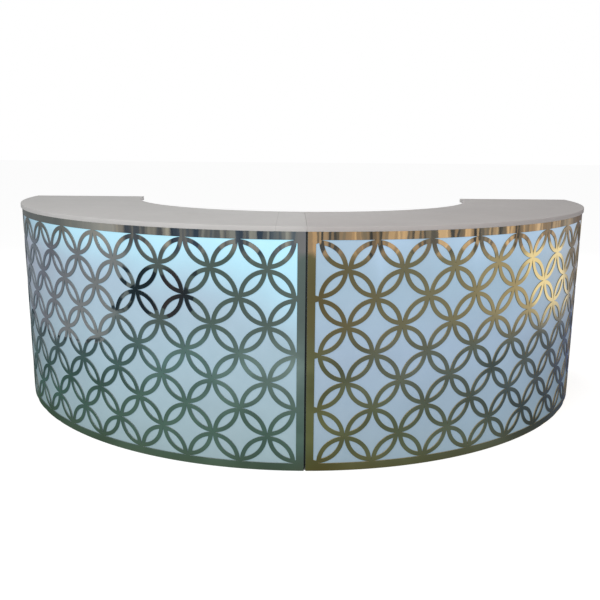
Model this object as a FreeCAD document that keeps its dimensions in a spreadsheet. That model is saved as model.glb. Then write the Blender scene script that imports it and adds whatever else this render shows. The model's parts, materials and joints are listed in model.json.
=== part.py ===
# Lit bar counter: two quarter-ring modules side by side.
# Each has a white top, a metal lattice front with a light box behind it, and shelves on the bartender's side.
# Millimetres, +Z up. The counter's middle is at x = 0 and its public side faces -Y.
import FreeCAD
import Part
import Sketcher
import math
import os

Vector = FreeCAD.Vector
doc = FreeCAD.newDocument("bar_counter")
sheet = doc.addObject("Spreadsheet::Sheet", "Sizes")

# Driving dimensions, one row each: name, value, what it measures
SIZES = [
    ("counter_height", 1100, "floor to the upper face of the top"),
    ("top_outer_radius", 1700, "front edge of the top"),
    ("top_inner_radius", 1020, "bartender's edge of the top"),
    ("top_thickness", 22, "board of the top"),
    ("top_edge_round", 2, "eased upper edges of the top"),
    ("top_overhang", 7, "top past the face of the metal"),
    ("module_gap", 0.4, "seam between neighbouring modules"),
    ("sheet_thickness", 3, "metal sheet of the lattice"),
    ("panel_edge_gap", 4, "metal and diffuser short of the middle of the seam"),
    ("stile_width", 35, "plain metal beside the seam"),
    ("circle_pitch", 250, "centre to centre of neighbouring rings"),
    ("ring_overlap", 2, "ring past the middle between two ring centres"),
    ("ring_width", 20, "metal of a ring, from its outer to its inner edge"),
    ("bridge_width", 40, "metal that ties an edge ring to its band or stile"),
    ("band_margin", 1, "outermost ring crossing to the band"),
    ("left_stile_margin", 3, "first ring crossing to the stile, silver module"),
    ("right_stile_margin", 13, "first ring crossing to the stile, gold module"),
    ("outer_stile_margin", 10, "last ring crossing to the outer stile"),
    ("outer_stile_least", 50, "narrowest plain metal at the outer end"),
    ("band_least", 20, "narrowest plain metal above and below the rings"),
    ("diffuser_thickness", 5, "opal sheet"),
    ("skin_gap", 0.3, "clearance between the skins of the front"),
    ("fit_gap", 0.3, "clearance between boards that meet"),
    ("light_box_depth", 95, "between the diffuser and the light-box back"),
    ("back_thickness", 9, "light-box back"),
    ("board_thickness", 18, "boards of the carcass"),
    ("carcass_inner_radius", 1060, "bartender's edge of the boards"),
    ("shelf_inner_radius", 1160, "bartender's edge of the shelves"),
    ("shelf_height", 540, "floor to the underside of the shelves"),
    ("glide_height", 4, "foot under the base board"),
    ("glide_width", 40, "square foot under the base board"),
    ("glide_inset", 45, "foot's centre to the edges of the base board"),
    ("lamp_setback", 42, "diffuser to the lamp strip"),
    ("lamp_width", 12, "lamp strip"),
    ("lamp_thickness", 2, "lamp strip"),
    ("case_length", 190, "driver case along the end panel"),
    ("case_depth", 60, "driver case out from the end panel"),
    ("case_height", 72, "driver case"),
    ("case_wall", 2.5, "driver case and lid"),
    ("case_drop", 128, "underside of the top to the underside of the driver case"),
    ("case_back_gap", 25, "driver case to the light-box back"),
    ("inlet_offset", 48, "bartender's end of the case to the middle of the inlet"),
    ("inlet_width", 27, "inlet body"),
    ("inlet_height", 20, "inlet body"),
    ("inlet_depth", 21, "inlet body behind the lid"),
    ("inlet_flange", 3, "flange past the body all round, and its thickness"),
    ("inlet_recess_width", 24, "socket"),
    ("inlet_recess_height", 16.5, "socket"),
    ("inlet_recess_depth", 16, "socket"),
    ("inlet_blade_width", 4, "contact blade"),
    ("inlet_blade_thickness", 2, "contact blade"),
    ("inlet_blade_length", 12, "contact blade"),
    ("inlet_blade_pitch", 7, "contact blades, middle to middle"),
    ("switch_offset", 110, "bartender's end of the case to the middle of the switch"),
    ("switch_width", 15, "bezel"),
    ("switch_height", 21, "bezel"),
    ("switch_face", 2, "bezel in front of the lid"),
    ("switch_depth", 14, "switch body behind the lid"),
    ("switch_wall", 1, "bezel wall round the switch body"),
    ("rocker_width", 10.4, "rocker across"),
    ("rocker_height", 15.6, "rocker along"),
    ("rocker_depth", 4, "rocker behind the lid's face"),
    ("rocker_middle", 1.5, "rocker's valley in front of the lid's face"),
    ("rocker_tilt", 10, "rocker's lean when it is pressed, degrees"),
    ("lead_width", 6, "flat lamp lead"),
    ("lead_thickness", 3, "flat lamp lead"),
    ("lead_bend", 24, "middle of the lamp lead where it turns up"),
    ("lead_offset", 30, "end panel to the lamp lead"),
    ("lead_drop", 58, "lamp strip down to the lamp lead"),
    ("lead_hole_radius", 5, "hole for the lead in the light-box back"),
    ("bracket_leg", 40, "angle bracket"),
    ("bracket_width", 24, "angle bracket"),
    ("bracket_thickness", 2.5, "angle bracket"),
    ("bracket_inset", 70, "angle bracket to the ends of its board"),
]
for row, (alias, number, meaning) in enumerate(SIZES, start=1):
    sheet.set("A%d" % row, meaning)
    sheet.set("B%d" % row, str(number))
    sheet.setAlias("B%d" % row, alias)
doc.recompute()

# Directions of a module's two ends and of its middle, in degrees from +X
JOINT_END = -90
OUTER_END = 0
MIDDLE = -45
# Straight sides that stand for one round side of a petal and of a star
PETAL_SIDES = 3
STAR_SIDES = 2

# Radii, heights and insets that follow from the driving dimensions
RING_CENTRE = "((Sizes.top_outer_radius + Sizes.module_gap / 2) / 2)"
HALF_GAP = "(Sizes.module_gap / 2)"
METAL_FACE = "(Sizes.top_outer_radius - Sizes.top_overhang)"
RING_OUTER = "(Sizes.circle_pitch / 2 + Sizes.ring_overlap)"
RING_INNER = "(%s - Sizes.ring_width)" % RING_OUTER
# The metal is rolled in flats half a pitch wide, so the middle of each flat lies a little inside its folds
FLAT_FACE = "(%s * cos(Sizes.circle_pitch / 4 / %s * 1 rad))" % (METAL_FACE, METAL_FACE)
METAL_BACK = "(%s - Sizes.sheet_thickness)" % FLAT_FACE
DIFFUSER_FACE = "(%s - Sizes.skin_gap)" % METAL_BACK
DIFFUSER_BACK = "(%s - Sizes.diffuser_thickness)" % DIFFUSER_FACE
BOARD_FRONT = "(%s - Sizes.skin_gap)" % DIFFUSER_BACK
BACK_FACE = "(%s - Sizes.light_box_depth)" % BOARD_FRONT
BACK_INNER = "(%s - Sizes.back_thickness)" % BACK_FACE
TOP_UNDERSIDE = "(Sizes.counter_height - Sizes.top_thickness)"
RAIL_UNDERSIDE = "(%s - Sizes.board_thickness)" % TOP_UNDERSIDE
BASE_TOP = "(Sizes.glide_height + Sizes.board_thickness)"
PANEL_FACE = "(%s + Sizes.board_thickness)" % HALF_GAP
INSIDE_PANELS = "(%s + Sizes.fit_gap)" % PANEL_FACE
INSIDE_PARTITION = "(Sizes.board_thickness / 2 + Sizes.fit_gap)"
SKIN_HEIGHT = "(%s - Sizes.glide_height)" % TOP_UNDERSIDE
LAMP_OUTER = "(%s - Sizes.lamp_setback)" % DIFFUSER_BACK
LAMP_INNER = "(%s - Sizes.lamp_width)" % LAMP_OUTER
CASE_END = "(%s - Sizes.case_back_gap)" % BACK_INNER
CASE_START = "(%s - Sizes.case_length)" % CASE_END
CASE_FACE = "(%s - %s - Sizes.case_depth)" % (RING_CENTRE, PANEL_FACE)
LID_FACE = "(%s - Sizes.case_wall)" % CASE_FACE
CASE_LOW = "(%s - Sizes.case_drop)" % TOP_UNDERSIDE
CASE_MIDDLE = "(%s + Sizes.case_height / 2)" % CASE_LOW
INLET_X = "(%s + Sizes.inlet_offset)" % CASE_START
SWITCH_X = "(%s + Sizes.switch_offset)" % CASE_START
LEAD_Y = "(%s - %s - Sizes.lead_offset)" % (RING_CENTRE, PANEL_FACE)
LEAD_Z = "(%s - Sizes.lamp_thickness - Sizes.lead_drop)" % RAIL_UNDERSIDE


def value(expression):
    """The number that an expression on the driving dimensions comes to."""
    return float(sheet.evalExpression(expression))


def bind(thing, **expressions):
    """Tie properties to the driving dimensions; x, y and z place the piece."""
    for key, expression in expressions.items():
        path = "Placement.Base." + key if key in ("x", "y", "z") else key
        thing.setExpression(path, expression)


def origin_plane(body, role):
    """One of a body's own reference planes."""
    return next(item for item in body.Origin.OriginFeatures if item.Role == role)


def on_line(direction, inset, radius):
    """The point at a radius on a line that runs outward in a direction, set to one side by an inset."""
    angle = math.radians(direction)
    along = math.sqrt(radius * radius - inset * inset)
    return Vector(along * math.cos(angle) - inset * math.sin(angle),
                  along * math.sin(angle) + inset * math.cos(angle), 0)


def sector_body(name, inner, outer, low, height, start, end):
    """A curved board: a ring sector between two end lines, each a direction and how far it lies inside it."""
    body = doc.addObject("PartDesign::Body", name)
    sketch = body.newObject("Sketcher::SketchObject", name + "_plan")
    sketch.AttachmentSupport = (origin_plane(body, "XY_Plane"), [""])
    sketch.MapMode = "FlatFace"
    radius_in, radius_out = value(inner), value(outer)
    first_in, first_out = (on_line(start[0], value(start[1]), r) for r in (radius_in, radius_out))
    last_in, last_out = (on_line(end[0], -value(end[1]), r) for r in (radius_in, radius_out))
    for radius, first, last in ((radius_out, first_out, last_out), (radius_in, first_in, last_in)):
        circle = Part.Circle(Vector(0, 0, 0), Vector(0, 0, 1), radius)
        turn = [math.atan2(point.y, point.x) for point in (first, last)]
        sketch.addGeometry(Part.ArcOfCircle(circle, turn[0], turn[1]))
    sketch.addGeometry(Part.LineSegment(first_in, first_out))
    sketch.addGeometry(Part.LineSegment(last_in, last_out))
    outer_arc, inner_arc, start_line, end_line = range(4)
    for arc, line_end in ((outer_arc, 2), (inner_arc, 1)):
        sketch.addConstraint(Sketcher.Constraint("Coincident", arc, 3, -1, 1))
        sketch.addConstraint(Sketcher.Constraint("Coincident", arc, 1, start_line, line_end))
        sketch.addConstraint(Sketcher.Constraint("Coincident", arc, 2, end_line, line_end))
    named = []
    for arc, label, radius in ((outer_arc, "outer", radius_out), (inner_arc, "inner", radius_in)):
        named.append((label, sketch.addConstraint(Sketcher.Constraint("Radius", arc, radius))))
    for line, label, (direction, inset) in ((start_line, "start", start), (end_line, "end", end)):
        sketch.addConstraint(Sketcher.Constraint("Angle", line, math.radians(direction)))
        constraint = Sketcher.Constraint("Distance", -1, 1, line, value(inset))
        named.append((label, sketch.addConstraint(constraint)))
    for label, index in named:
        sketch.renameConstraint(index, label)
    bind(sketch, **{"Constraints.outer": outer, "Constraints.inner": inner,
                    "Constraints.start": start[1], "Constraints.end": end[1]})
    pad = body.newObject("PartDesign::Pad", name + "_board")
    pad.Profile = sketch
    bind(pad, Length=height)
    bind(body, y=RING_CENTRE, z=low)
    doc.recompute()
    return body


def radial_board(name, direction, side, inner, outer, low, high):
    """A flat upright board that runs outward in a direction, its near face set off to one side."""
    board = doc.addObject("Part::Box", name)
    board.Placement.Rotation = FreeCAD.Rotation(Vector(0, 0, 1), direction)
    angle = "(%d deg)" % direction
    bind(board, Length="%s - %s" % (outer, inner), Width="Sizes.board_thickness",
         Height="%s - %s" % (high, low),
         x="%s * cos%s - %s * sin%s" % (inner, angle, side, angle),
         y="%s + %s * sin%s + %s * cos%s" % (RING_CENTRE, inner, angle, side, angle), z=low)
    return board


def block(name, length, width, height, x, y, z):
    """A rectangular block by its low corner."""
    box = doc.addObject("Part::Box", name)
    bind(box, Length=length, Width=width, Height=height, x=x, y=y, z=z)
    return box


def centred_block(name, length, width, height, x, y, z):
    """A rectangular block whose middle in x and z is given, and whose low face is at y."""
    return block(name, length, width, height, "%s - %s / 2" % (x, length), y, "%s - %s / 2" % (z, height))


def rod(name, radius, length, x, y, z):
    """A round bar along +X from a point."""
    bar = doc.addObject("Part::Cylinder", name)
    bar.Placement.Rotation = FreeCAD.Rotation(Vector(0, 1, 0), 90)
    bind(bar, Radius=radius, Height=length, x=x, y=y, z=z)
    return bar


def cut(name, base, tool):
    """One shape less another."""
    result = doc.addObject("Part::Cut", name)
    result.Base = base
    result.Tool = tool
    return result


def fuse(name, *shapes):
    """Several shapes as one."""
    result = doc.addObject("Part::MultiFuse", name)
    result.Shapes = list(shapes)
    return result


def group(name, shapes):
    """Like solids in one piece list entry."""
    feature = doc.addObject("Part::Feature", name)
    feature.Shape = Part.makeCompound(shapes)
    return feature


def petal_outline():
    """The lens between two crossing rings, lying along the first axis."""
    crossing = value("Sizes.circle_pitch") / 2 / math.sqrt(2)
    radius = value(RING_INNER)
    half_angle = math.acos(crossing / radius)
    points = []
    for flip in (1, -1):
        for step in range(PETAL_SIDES):
            angle = math.pi / 2 + half_angle * (1 - 2 * step / PETAL_SIDES) * -1
            points.append((flip * radius * math.cos(angle), flip * (radius * math.sin(angle) - crossing)))
    return points


def star_side(start_along):
    """One round side of a star, from beside the crossing on the first axis to the tip on the second axis."""
    half = value("Sizes.circle_pitch") / 2
    radius = value(RING_OUTER)
    first = math.atan2(-math.sqrt(radius ** 2 - start_along ** 2), -start_along)
    last = math.atan2(-math.sqrt(radius ** 2 - half ** 2), -half)
    turns = [first + (last - first) * step / STAR_SIDES for step in range(STAR_SIDES + 1)]
    return [(half + radius * math.cos(turn), half + radius * math.sin(turn)) for turn in turns]


def star_outline():
    """The four-pointed gap inside a ring, between its four petals."""
    half = value("Sizes.circle_pitch") / 2
    tip = math.sqrt(value(RING_OUTER) ** 2 - half ** 2)
    side = star_side(tip)[:-1]
    points = []
    for turn in range(4):
        cosine, sine = round(math.cos(turn * math.pi / 2)), round(math.sin(turn * math.pi / 2))
        points += [(u * cosine - v * sine, u * sine + v * cosine) for u, v in side]
    return points


def edge_star_outline(margin):
    """The half of a star at an edge of the pattern; the edge lies below it, a margin away."""
    half = value("Sizes.circle_pitch") / 2
    tie = value("Sizes.bridge_width") / 2
    right = star_side(tie)
    left = [(-u, v) for u, v in reversed(right[:-1])]
    return [(half - tie, -margin)] + right + left + [(tie - half, -margin)]


def turned(points, degrees):
    """An outline turned in its own plane."""
    cosine, sine = math.cos(math.radians(degrees)), math.sin(math.radians(degrees))
    return [(u * cosine - v * sine, u * sine + v * cosine) for u, v in points]


def punch(points):
    """A prism that cuts an outline through the metal straight ahead of the ring's centre."""
    clear = value("Sizes.sheet_thickness")
    face = value(METAL_FACE)
    outline = [Vector(u, -face - clear, v) for u, v in points]
    prism = Part.Face(Part.makePolygon(outline + outline[:1])).extrude(Vector(0, 4 * clear, 0))
    return prism


def lattice_start(first_margin):
    """Along the front, from the middle of the seam to the first ring crossing."""
    return value("Sizes.panel_edge_gap + Sizes.stile_width + %s" % first_margin)


def ring_counts(first_margin):
    """How many rings fit along the front of a module and in its height."""
    length = value(METAL_FACE) * math.radians(OUTER_END - JOINT_END) - lattice_start(first_margin)
    length -= value("Sizes.panel_edge_gap + Sizes.outer_stile_margin + Sizes.outer_stile_least")
    height = value(SKIN_HEIGHT) - 2 * value("Sizes.band_margin + Sizes.band_least")
    pitch = value("Sizes.circle_pitch")
    return int(length // pitch), int(height // pitch)


def lattice_punches(first_margin):
    """Every gap of one lattice: the petals, the stars and the half stars along the four edges."""
    half = value("Sizes.circle_pitch") / 2
    columns, rows = (2 * count for count in ring_counts(first_margin))
    first_arc = lattice_start(first_margin)
    middle = value("Sizes.glide_height") + value(SKIN_HEIGHT) / 2
    rising, falling = punch(turned(petal_outline(), 45)), punch(turned(petal_outline(), -45))
    star = punch(star_outline())
    edge = value("Sizes.band_margin")
    low_edge = punch(edge_star_outline(edge))
    high_edge = punch(turned(edge_star_outline(edge), 180))
    first_edge = punch(turned(edge_star_outline(value(first_margin)), -90))
    last_edge = punch(turned(edge_star_outline(value("Sizes.outer_stile_margin")), 90))
    edges = {(0, None): first_edge, (columns, None): last_edge,
             (None, 0): low_edge, (None, rows): high_edge}
    punches = []

    def place(prism, column, row):
        copy = prism.copy()
        turn = math.degrees((first_arc + column * half) / value(METAL_FACE))
        copy.translate(Vector(0, 0, middle + (row - rows / 2) * half))
        copy.rotate(Vector(0, 0, 0), Vector(0, 0, 1), turn)
        punches.append(copy)

    for column in range(columns):
        for row in range(rows):
            place(rising if (column + row) % 2 == 0 else falling, column + 0.5, row + 0.5)
    for column in range(columns + 1):
        for row in range(rows + 1):
            if (column + row) % 2:
                at_side = edges.get((column, None))
                place(at_side or edges.get((None, row)) or star, column, row)
    return punches


def fold_turns(first_margin):
    """The folds, in radians from the joint end: at every ring crossing and along the outer stile."""
    half = value("Sizes.circle_pitch / 2")
    columns = 2 * ring_counts(first_margin)[0]
    radius = value(METAL_FACE)
    first = lattice_start(first_margin) / radius
    turns = [first + column * half / radius for column in range(columns + 1)]
    rest = math.radians(OUTER_END - JOINT_END) - turns[-1]
    flats = math.ceil(rest * radius / half)
    return turns + [turns[-1] + rest * step / flats for step in range(1, flats)]


def folded_sheet(name, first_margin):
    """The metal of one lattice before its gaps are cut: upright flats that meet on fold lines."""
    radius, metal = value(METAL_FACE), value("Sizes.sheet_thickness")
    edge = value("Sizes.panel_edge_gap")
    corners = [on_line(JOINT_END, edge, radius)]
    corners += [on_line(JOINT_END + math.degrees(turn), 0, radius) for turn in fold_turns(first_margin)]
    corners += [on_line(OUTER_END, -edge, radius)]
    normals = []
    for first, last in zip(corners, corners[1:]):
        normals.append(Vector(last.y - first.y, first.x - last.x, 0).normalize())
    inward = [on_line(JOINT_END, 0, 1)]
    inward += [before + after for before, after in zip(normals, normals[1:])]
    inward += [on_line(OUTER_END, 0, 1)]
    backs = []
    for corner, way, normal in zip(corners, inward, normals + normals[-1:]):
        backs.append(corner - way * (metal / way.dot(normal)))
    plan = corners + backs[::-1]
    feature = doc.addObject("Part::Feature", name)
    feature.Shape = Part.Face(Part.makePolygon(plan + plan[:1])).extrude(Vector(0, 0, value(SKIN_HEIGHT)))
    feature.Placement.Base.z = value("Sizes.glide_height")
    return feature


def lattice(name, first_margin):
    """A lattice sheet, cut through by its gaps."""
    panel = cut(name, folded_sheet(name + "_sheet", first_margin),
                group(name + "_gaps", lattice_punches(first_margin)))
    panel.Refine = False
    bind(panel, y=RING_CENTRE)
    return panel


def counter_top(name):
    """The top, with its upper edges eased."""
    board = sector_body(name, "Sizes.top_inner_radius", "Sizes.top_outer_radius", TOP_UNDERSIDE,
                        "Sizes.top_thickness", (JOINT_END, HALF_GAP), (OUTER_END, HALF_GAP))
    flat = board.Tip
    upper = value("Sizes.top_thickness")
    edges = []
    for number, edge in enumerate(flat.Shape.Edges, start=1):
        if all(abs(vertex.Z - upper) < 1e-6 for vertex in edge.Vertexes):
            edges.append("Edge%d" % number)
    easing = board.newObject("PartDesign::Chamfer", name + "_easing")
    easing.Base = (flat, edges)
    bind(easing, Size="Sizes.top_edge_round")
    return board


def light_box_back(name):
    """The curved back of the light box, with the hole for the lamp lead."""
    board = sector_body(name + "_board", BACK_INNER, BACK_FACE, BASE_TOP,
                        "%s - %s" % (RAIL_UNDERSIDE, BASE_TOP),
                        (JOINT_END, INSIDE_PANELS), (OUTER_END, INSIDE_PANELS))
    hole = rod(name + "_hole", "Sizes.lead_hole_radius", "2 * Sizes.case_back_gap + Sizes.back_thickness",
               "%s - Sizes.case_back_gap" % BACK_INNER, LEAD_Y, LEAD_Z)
    return cut(name, board, hole)


def lamp_lead(name):
    """The lead from the driver case through the light-box back and up to the lamp strip."""
    start = Vector(value(CASE_END), value(LEAD_Y), value(LEAD_Z))
    lamp_radius = value("%s - Sizes.lamp_width / 2" % LAMP_OUTER)
    rise = math.sqrt(lamp_radius ** 2 - (start.y - value(RING_CENTRE)) ** 2)
    corner = Vector(rise, start.y, start.z)
    top = Vector(rise, start.y, value("%s - Sizes.lamp_thickness" % RAIL_UNDERSIDE))
    bend = value("Sizes.lead_bend")
    before = corner - Vector(bend, 0, 0)
    after = corner + Vector(0, 0, bend)
    centre = before + Vector(0, 0, bend)
    middle = centre + Vector(bend, 0, -bend) / math.sqrt(2)
    path = Part.Wire([Part.LineSegment(start, before).toShape(), Part.Arc(before, middle, after).toShape(),
                      Part.LineSegment(after, top).toShape()])
    across, thick = value("Sizes.lead_width") / 2, value("Sizes.lead_thickness") / 2
    corners = [start + Vector(0, across * y, thick * z) for y, z in ((1, 1), (-1, 1), (-1, -1), (1, -1))]
    section = Part.makePolygon(corners + corners[:1])
    feature = doc.addObject("Part::Feature", name)
    feature.Shape = path.makePipeShell([section], True, False)
    return feature


def driver_case(name):
    """The tray of the driver case, open on the side that its lid closes."""
    outside = block(name + "_outside", "Sizes.case_length", "Sizes.case_depth", "Sizes.case_height",
                    CASE_START, CASE_FACE, CASE_LOW)
    wall = "Sizes.case_wall"
    inside = block(name + "_inside", "Sizes.case_length - 2 * %s" % wall, "Sizes.case_depth",
                   "Sizes.case_height - 2 * %s" % wall, "%s + %s" % (CASE_START, wall),
                   "%s - %s" % (CASE_FACE, wall), "%s + %s" % (CASE_LOW, wall))
    return cut(name, outside, inside)


def driver_lid(name):
    """The lid of the driver case, with the openings for the inlet and the switch."""
    plate = block(name + "_plate", "Sizes.case_length", "Sizes.case_wall", "Sizes.case_height",
                  CASE_START, LID_FACE, CASE_LOW)
    through = "3 * Sizes.case_wall"
    ahead = "%s - Sizes.case_wall" % LID_FACE
    gap = "2 * Sizes.fit_gap"
    inlet_hole = centred_block(name + "_inlet_hole", "(Sizes.inlet_width + %s)" % gap, through,
                               "(Sizes.inlet_height + %s)" % gap, INLET_X, ahead, CASE_MIDDLE)
    body = "2 * Sizes.switch_wall"
    switch_hole = centred_block(name + "_switch_hole", "(Sizes.switch_width - %s + %s)" % (body, gap),
                                through, "(Sizes.switch_height - %s + %s)" % (body, gap),
                                SWITCH_X, ahead, CASE_MIDDLE)
    return cut(name, plate, fuse(name + "_holes", inlet_hole, switch_hole))


def power_inlet(name):
    """The mains inlet: a flanged body with a socket and its three blades."""
    flange = "Sizes.inlet_flange"
    front = "(%s - %s)" % (LID_FACE, flange)
    plate = centred_block(name + "_plate", "(Sizes.inlet_width + 2 * %s)" % flange, flange,
                          "(Sizes.inlet_height + 2 * %s)" % flange, INLET_X, front, CASE_MIDDLE)
    shell = centred_block(name + "_shell", "Sizes.inlet_width", "Sizes.inlet_depth + %s" % flange,
                          "Sizes.inlet_height", INLET_X, front, CASE_MIDDLE)
    socket = centred_block(name + "_socket", "Sizes.inlet_recess_width", "(2 * Sizes.inlet_recess_depth)",
                           "Sizes.inlet_recess_height", INLET_X,
                           "%s - Sizes.inlet_recess_depth" % front, CASE_MIDDLE)
    hollow = cut(name + "_hollow", fuse(name + "_body", plate, shell), socket)
    blades = []
    for place, side, lift in (("left", -1, -1), ("middle", 0, 1), ("right", 1, -1)):
        blades.append(centred_block("%s_%s_blade" % (name, place), "Sizes.inlet_blade_thickness",
                                    "Sizes.inlet_blade_length", "Sizes.inlet_blade_width",
                                    "(%s + %d * Sizes.inlet_blade_pitch)" % (INLET_X, side),
                                    "%s + Sizes.inlet_recess_depth - Sizes.inlet_blade_length" % front,
                                    "(%s + %d * Sizes.inlet_blade_thickness)" % (CASE_MIDDLE, lift)))
    return fuse(name, hollow, *blades)


def switch_bezel(name):
    """The frame and body of the rocker switch."""
    wall = "Sizes.switch_wall"
    front = "(%s - Sizes.switch_face)" % LID_FACE
    frame = centred_block(name + "_frame", "Sizes.switch_width", "Sizes.switch_face", "Sizes.switch_height",
                          SWITCH_X, front, CASE_MIDDLE)
    shell = centred_block(name + "_shell", "(Sizes.switch_width - 2 * %s)" % wall,
                          "Sizes.switch_depth + Sizes.switch_face", "(Sizes.switch_height - 2 * %s)" % wall,
                          SWITCH_X, front, CASE_MIDDLE)
    well = centred_block(name + "_well", "(Sizes.switch_width - 4 * %s)" % wall,
                         "Sizes.switch_depth + Sizes.switch_face", "(Sizes.switch_height - 3 * %s)" % wall,
                         SWITCH_X, "%s - %s" % (front, wall), CASE_MIDDLE)
    return cut(name, fuse(name + "_body", frame, shell), well)


def switch_rocker(name):
    """The rocker: two faces that meet in a valley, leaning because its lower half is pressed."""
    body = doc.addObject("PartDesign::Body", name)
    sketch = body.newObject("Sketcher::SketchObject", name + "_profile")
    sketch.AttachmentSupport = (origin_plane(body, "YZ_Plane"), [""])
    sketch.MapMode = "FlatFace"
    half, depth = value("Sizes.rocker_height / 2"), value("Sizes.rocker_depth")
    valley = value("Sizes.rocker_middle")
    peak = valley + half * math.tan(math.radians(value("Sizes.rocker_tilt")))
    corners = [(0, -valley), (half, -peak), (half, depth), (-half, depth), (-half, -peak)]
    corners = [Vector(out, along, 0) for along, out in corners]
    for first, last in zip(corners, corners[1:] + corners[:1]):
        sketch.addGeometry(Part.LineSegment(first, last))
    sides = len(corners)
    for side in range(sides):
        sketch.addConstraint(Sketcher.Constraint("Coincident", side, 2, (side + 1) % sides, 1))
    upper_face, upper_end, back, lower_end, lower_face = range(sides)
    sketch.addConstraint(Sketcher.Constraint("PointOnObject", upper_face, 1, -1))
    sketch.addConstraint(Sketcher.Constraint("Symmetric", upper_face, 2, lower_face, 1, -1))
    sketch.addConstraint(Sketcher.Constraint("Symmetric", back, 1, back, 2, -1))
    sketch.addConstraint(Sketcher.Constraint("Horizontal", upper_end))
    named = {
        "depth": ("DistanceX", -1, 1, back, 1, depth),
        "length": ("DistanceY", back, 2, back, 1, 2 * half),
        "valley": ("DistanceX", upper_face, 1, -1, 1, valley),
        "peak": ("DistanceX", upper_face, 2, -1, 1, peak),
    }
    for label, constraint in named.items():
        sketch.renameConstraint(sketch.addConstraint(Sketcher.Constraint(*constraint)), label)
    bind(sketch, **{"Constraints.depth": "Sizes.rocker_depth", "Constraints.length": "Sizes.rocker_height",
                    "Constraints.valley": "Sizes.rocker_middle",
                    "Constraints.peak": "Sizes.rocker_middle + Sizes.rocker_height / 2"
                                        " * tan(Sizes.rocker_tilt * 1 deg)"})
    pad = body.newObject("PartDesign::Pad", name + "_width")
    pad.Profile = sketch
    pad.Midplane = True
    bind(pad, Length="Sizes.rocker_width")
    body.Placement.Rotation = FreeCAD.Rotation(Vector(1, 0, 0), value("Sizes.rocker_tilt"))
    bind(body, x=SWITCH_X, y=LID_FACE, z=CASE_MIDDLE)
    doc.recompute()
    return body


def glides(name):
    """Feet under the base board: one near each corner and two along each curved edge."""
    inset, width = value("Sizes.glide_inset"), value("Sizes.glide_width")
    foot = Part.makeBox(width, width, value("Sizes.glide_height"), Vector(-width / 2, -width / 2, 0))
    solids = []
    for ring in (value("Sizes.carcass_inner_radius") + inset, value(BOARD_FRONT) - inset):
        corner = math.degrees(math.asin(inset / ring))
        span = OUTER_END - JOINT_END - 2 * corner
        for step in range(4):
            solid = foot.copy()
            solid.translate(Vector(ring, 0, 0))
            solid.rotate(Vector(0, 0, 0), Vector(0, 0, 1), JOINT_END + corner + span * step / 3)
            solid.translate(Vector(0, value(RING_CENTRE), 0))
            solids.append(solid)
    return group(name, solids)


def top_brackets(name):
    """Angle brackets in the corners between the top and the upright boards, two to a board."""
    leg, width, metal = (value("Sizes.bracket_" + part) for part in ("leg", "width", "thickness"))
    under = value(TOP_UNDERSIDE)
    near = value("Sizes.carcass_inner_radius + Sizes.bracket_inset")
    far = value("%s - Sizes.bracket_inset" % BACK_INNER)
    upright = Part.makeBox(width, metal, leg, Vector(-width / 2, 0, -leg))
    flat = Part.makeBox(width, leg, metal, Vector(-width / 2, 0, -metal))
    angle_bracket = upright.fuse(flat).removeSplitter()
    solids = []
    for direction, side in ((JOINT_END, value(PANEL_FACE)), (MIDDLE, value("Sizes.board_thickness / 2")),
                            (OUTER_END, -value(PANEL_FACE))):
        for radius in (near, far):
            solid = angle_bracket.copy()
            turn = direction if side > 0 else direction + 180
            solid.rotate(Vector(0, 0, 0), Vector(0, 0, 1), turn)
            place = on_line(direction, side, radius)
            solid.translate(place + Vector(0, value(RING_CENTRE), under))
            solids.append(solid)
    return group(name, solids)


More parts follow.
